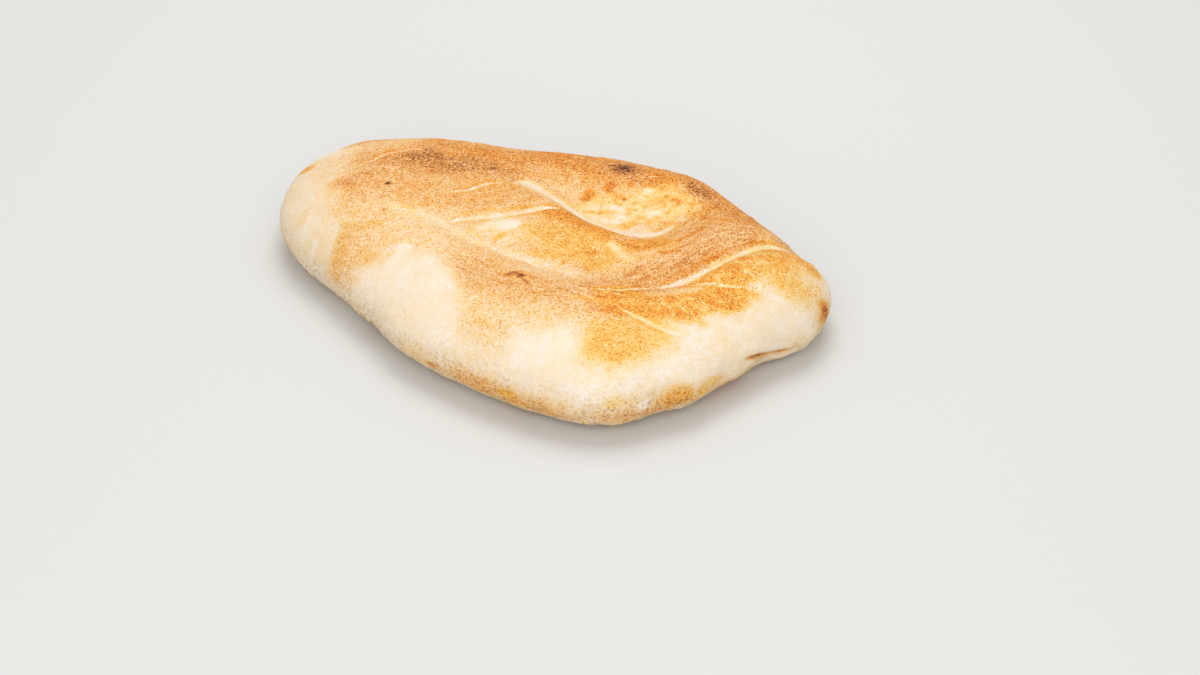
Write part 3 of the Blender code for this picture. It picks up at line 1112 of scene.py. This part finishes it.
# glints: paler bubbles, and painted highlights, small sparkles of light put into the colour
glints = step(mottle(finish, here, size=1.2, detail=1.0), low=0.30, high=0.90)
clouds = mottle(finish, here, size=3.6)
blush = mottle(finish, here, size=2.7, detail=2.5, roughness=0.6)
drift = mottle(finish, here, size=15.0, detail=3.0)
finish.report()

# %% [markdown]
# ### Streaks and web
# The fine folds on the crests browned on their backs and stayed paler between. Their noise is drawn out
# along the band, like the wrinkles. The web is the border between cells, kept to where the skin is thin.

# %% Streaks and web
STREAK_LENGTH = 15.0
STREAK_WIDTH = 1.4
WEB_BENT = 0.03  # by the clouds

streak_place = {
    "X": painted(finish, "band_along") / STREAK_LENGTH,
    "Y": painted(finish, "band_across") / STREAK_WIDTH,
}
drawn_out = finish.node("ShaderNodeCombineXYZ", {}, streak_place)
streak_noise = {"Vector": drawn_out, "Scale": 1.0, "Detail": 2.0}
streaks = finish.node("ShaderNodeTexNoise", {}, streak_noise, "Fac") - NOISE_MIDDLE
borders = cells(finish, here, size=7.0, feature="DISTANCE_TO_EDGE")
web = (1 - step(borders + clouds * WEB_BENT, low=0.02, high=0.12)) * stretch
finish.report()

# %% [markdown]
# ### Fresh dough, lips and pits
# Inside a crack the dough is fresh and pale, with a ragged border. Beside it the old skin stands up as a
# lip, which browns a little more. Both come from one number, the distance to the nearest crack. Pits are
# bubbles that burst: only some of the cells have one, and the colour in them is darkened as painted shade.

# %% Fresh dough, lips and pits
RAGGED = 0.14  # how far the clouds push a crack's border, in half widths
RAGGED_FINE = 0.07  # and how far the pepper does
PIT_SIZE = 2.6

fresh = 1 - step(gap + clouds * RAGGED + pepper * RAGGED_FINE, low=0.45, high=1.40)
lips = step(gap, low=1.2, high=1.7) * (1 - step(gap, low=1.8, high=3.2))
chosen_cells = step(cells(finish, here, PIT_SIZE, output="Color"), low=0.62, high=0.66)
pits = (1 - step(cells(finish, here, PIT_SIZE), low=0.10, high=0.22)) * chosen_cells
finish.report()

# %% [markdown]
# ### The browning of each place
# Now everything is added up. The patterns shift the browning up and down before it goes into the ramps, so
# that each speck takes on the right colour by itself. Cracks push it down towards raw dough. A ceiling keeps
# pale crust from getting specks of char.

# %% Add up the browning
FRESH_DROP = 0.9  # how much of the browning is gone on fresh dough
FRESH_BROWNING = 0.10  # and what it has instead
FRESH_CALM = 0.6  # how much of the pepper is gone there
WEB_DROP = 0.28
RAW_PEPPER = 0.35  # how strong the pepper is on raw dough
# How far each pattern shifts the browning
DRIFT_SHIFT = 0.05
STREAK_SHIFT = 0.90
SPECK_SHIFT = 0.62
PEPPER_SHIFT = 0.36
GLINT_SHIFT = 0.24
EVEN_SHIFT = 0.075  # taken off everywhere, because specks only darken
LIP_SHIFT = 0.06
PIT_SHADE = 0.20
CLOUD_SHIFTS = (0.02, 0.04, 0.10)  # on any dough, then with its grain and with its browning
WEB_CLOUD_SHIFT = 0.04
CEILING = 0.47  # for raw dough
CEILING_RISE = 0.55  # with the browning

strength = grain * (browning + RAW_PEPPER)
on_any, with_grain, with_browning = CLOUD_SHIFTS
cloud_shift = clouds * (on_any + grain * with_grain + browning * with_browning)
cloud_shift = cloud_shift + stretch * clouds * WEB_CLOUD_SHIFT
pepper_shift = specks * SPECK_SHIFT + pepper * PEPPER_SHIFT - glints * GLINT_SHIFT - EVEN_SHIFT
# pits darken the colour as painted shade in the holes
edge_shift = lips * LIP_SHIFT + pits * PIT_SHADE
baked = browning * (1 - fresh * FRESH_DROP) * (1 - web * WEB_DROP) + fresh * FRESH_BROWNING
baked = baked + drift * DRIFT_SHIFT + cloud_shift
baked = baked + strength * (1 - fresh * FRESH_CALM) * pepper_shift
baked = baked + grain * edge_shift + band * streaks * STREAK_SHIFT
baked = baked.at_most(browning * CEILING_RISE + CEILING)
finish.report()

# %% [markdown]
# ### Colour
# Orange decides between the plain and the golden ramp, with a ragged border. The rosy ramp comes over both in
# small clouds, and least where the crust is golden. Mixing their colours, and not the numbers that go in,
# keeps each ramp true. The tan specks of scorched flour go on top.

# %% Colour
GOLD_KEEPS = 0.85  # how much of the rosy cloud a golden place keeps off
FLOUR_COLOUR = (*seen(156, 116, 76), 1.0)
FLOUR_COVER = 0.9
# How far each pattern pushes the border between plain and golden
GOLD_DRIFT = 0.20
GOLD_CLOUDS = 0.25
GOLD_PEPPER = 0.16
GOLD_LIPS = 0.35

gold = orange + drift * GOLD_DRIFT + clouds * GOLD_CLOUDS + pepper * GOLD_PEPPER + lips * GOLD_LIPS
golden = step(gold, low=0.05, high=0.95)
rosy = step(blush, low=0.0, high=0.8) * (1 - golden * GOLD_KEEPS)
colour = mix(golden, ramp(baked, PLAIN_BROWNING), ramp(baked, GOLDEN_BROWNING))
colour = mix(rosy, colour, ramp(baked, ROSY_BROWNING))
flecks = step(mottle(finish, here, size=1.7, detail=3.0, roughness=0.8), low=-0.1, high=0.6)
colour = mix(painted(finish, "dusted") * flecks * FLOUR_COVER, colour, FLOUR_COLOUR)
finish.plug(finish.shader.inputs["Base Color"], colour)
finish.report()

# %% [markdown]
# ### Gloss and the finest relief
# Pale dough has a faint sheen, and peppered crust is dull. The bubbles and pits that are too small for
# the mesh are a bump of about a tenth of a millimetre, which only tilts the light. At that size it's enough.

# %% Gloss and bump
SHEEN = 0.22
PALE_ROUGHNESS = 0.42
GRAIN_ROUGHNESS = 0.30
PEPPER_RISE = 0.06  # this and the next four are in mm
CLOUD_RISE = 0.05
PIT_DEPTH = 0.12
STREAK_RISE = 0.3
WEB_DEPTH = 0.06

finish.plug(finish.shader.inputs["Roughness"], PALE_ROUGHNESS + grain * GRAIN_ROUGHNESS)
finish.shader.inputs["Specular IOR Level"].default_value = SHEEN
bubbles = grain * (pepper * PEPPER_RISE + clouds * CLOUD_RISE)
bumps = bubbles - pits * PIT_DEPTH + band * streaks * STREAK_RISE - web * WEB_DEPTH
normal = finish.node("ShaderNodeBump", {}, {"Strength": 1.0, "Distance": MM, "Height": bumps})
finish.plug(finish.shader.inputs["Normal"], normal)
crust.data.materials.clear()
crust.data.materials.append(finish.material)
finish.report()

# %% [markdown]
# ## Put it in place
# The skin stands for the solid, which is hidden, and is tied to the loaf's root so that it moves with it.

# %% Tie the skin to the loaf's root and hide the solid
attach(crust, "root")
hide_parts("lepinja")
